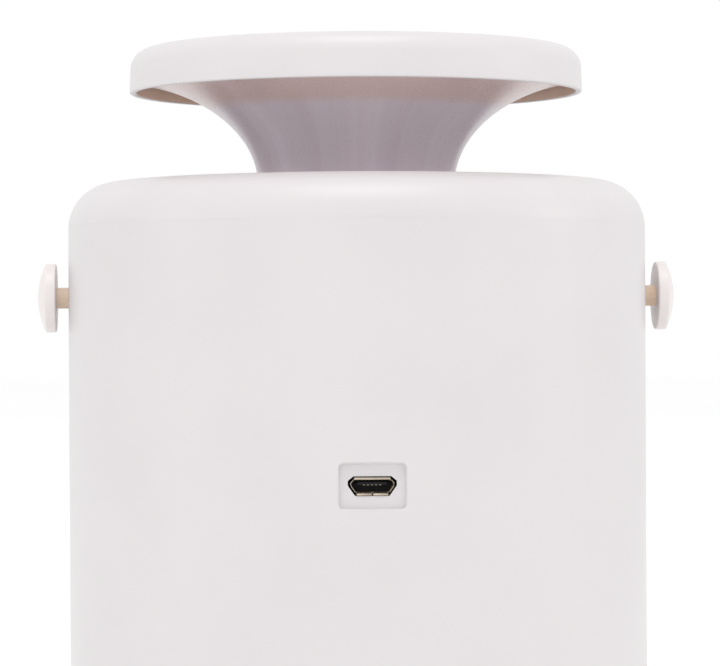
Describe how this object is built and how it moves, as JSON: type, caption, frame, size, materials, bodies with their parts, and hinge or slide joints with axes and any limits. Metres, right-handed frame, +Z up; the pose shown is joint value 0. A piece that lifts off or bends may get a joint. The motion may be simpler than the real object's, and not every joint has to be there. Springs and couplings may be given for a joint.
{
  "type": "electric bug zapper",
  "caption": "Round white USB lamp-type bug zapper with a domed-edge cap on a smoked trumpet neck, suction fan, live grid and pull-off tray.",
  "frame": {"origin": "centre of the base, on the surface that the feet stand on", "axes": "+Z up; -Y towards the side with the power socket, +Y towards the power button, +X and -X through the two strap studs"},
  "size_m": [0.1106, 0.1004, 0.1382],
  "materials": {
    "white_abs": "moulded ABS, satin white",
    "smoked_polycarbonate": "satin smoked polycarbonate, translucent",
    "grey_abs": "moulded ABS, light grey, matt",
    "black_abs": "moulded ABS or nylon, black, matt",
    "ivory_nylon": "moulded nylon, natural ivory",
    "green_fibreglass": "fibreglass circuit board with green solder resist",
    "led_package": "white LED package with a clear lens",
    "zinc_steel": "zinc-plated steel screws",
    "stainless_wire": "drawn stainless steel",
    "stator_steel": "stacked silicon-steel laminations",
    "steel_mesh": "woven stainless mesh",
    "nickel_plated_steel": "nickel-plated steel, satin",
    "gold_contacts": "gold-flashed contacts",
    "sintered_bronze": "oil-filled sintered bronze",
    "enamelled_copper": "enamelled copper wire",
    "ferrite": "bonded ferrite ring",
    "transformer_tape": "wound transformer in yellow tape",
    "film_capacitor": "dipped film capacitor",
    "capacitor_sleeve": "electrolytic capacitor in a printed-free sleeve",
    "black_rubber": "silicone rubber, black",
    "black_lead": "PVC insulation, black",
    "red_lead": "PVC insulation, red",
    "blue_lead": "PVC insulation, blue"
  },
  "bodies": {
    "housing": {"cap": "white_abs", "light_neck": "smoked_polycarbonate", "led_board": "green_fibreglass", "uv_leds": "led_package", "led_board_screws": "zinc_steel", "neck_base": "black_abs", "neck_screws": "zinc_steel", "top_cover": "white_abs", "cover_screws": "zinc_steel", "main_housing": "white_abs", "inlet_funnel": "grey_abs", "grid_holder": "ivory_nylon", "live_grid": "stainless_wire", "ground_grid": "stainless_wire", "fan_frame": "black_abs", "fan_bearing": "sintered_bronze", "fan_stator": "stator_steel", "fan_coils": "enamelled_copper", "fan_board": "green_fibreglass", "fan_screws": "zinc_steel", "partition_plate": "grey_abs", "main_board": "green_fibreglass", "usb_socket": "nickel_plated_steel", "usb_tongue": "black_abs", "usb_contacts": "gold_contacts", "hv_transformer": "transformer_tape", "hv_capacitors": "film_capacitor", "smoothing_capacitor": "capacitor_sleeve", "driver_chip": "black_abs", "main_board_screws": "zinc_steel", "switch_board": "green_fibreglass", "tact_switch": "black_abs", "switch_board_screws": "zinc_steel", "strap_stud_left": "white_abs", "strap_stud_right": "white_abs", "stud_screws": "zinc_steel", "led_lead": "black_lead", "fan_lead": "red_lead", "live_lead": "red_lead", "ground_lead": "black_lead", "switch_lead": "blue_lead"},
    "tray": {"collection_tray": "white_abs", "tray_seal": "black_rubber", "vent_screen": "steel_mesh", "rubber_feet": "black_rubber"},
    "fan_rotor": {"fan_rotor": "black_abs", "rotor_magnet": "ferrite", "fan_shaft": "stainless_wire"},
    "power_button": {"power_button": "white_abs", "switch_plunger": "black_abs"}
  },
  "joints": [
    {"name": "fan_spin", "type": "hinge", "parent": "housing", "child": "fan_rotor", "pos_m": [0, 0, 0.064], "axis": [0, 0, 1], "continuous": true},
    {"name": "power_press", "type": "slide", "parent": "housing", "child": "power_button", "axis": [0, -1, 0], "range_m": [0, 0.0005], "stiffness_N_per_m": 600, "springref_m": -0.0008},
    {"name": "tray_pull", "type": "slide", "parent": "housing", "child": "tray", "axis": [0, 0, -1], "range_m": [0, 0.045]}
  ]
}
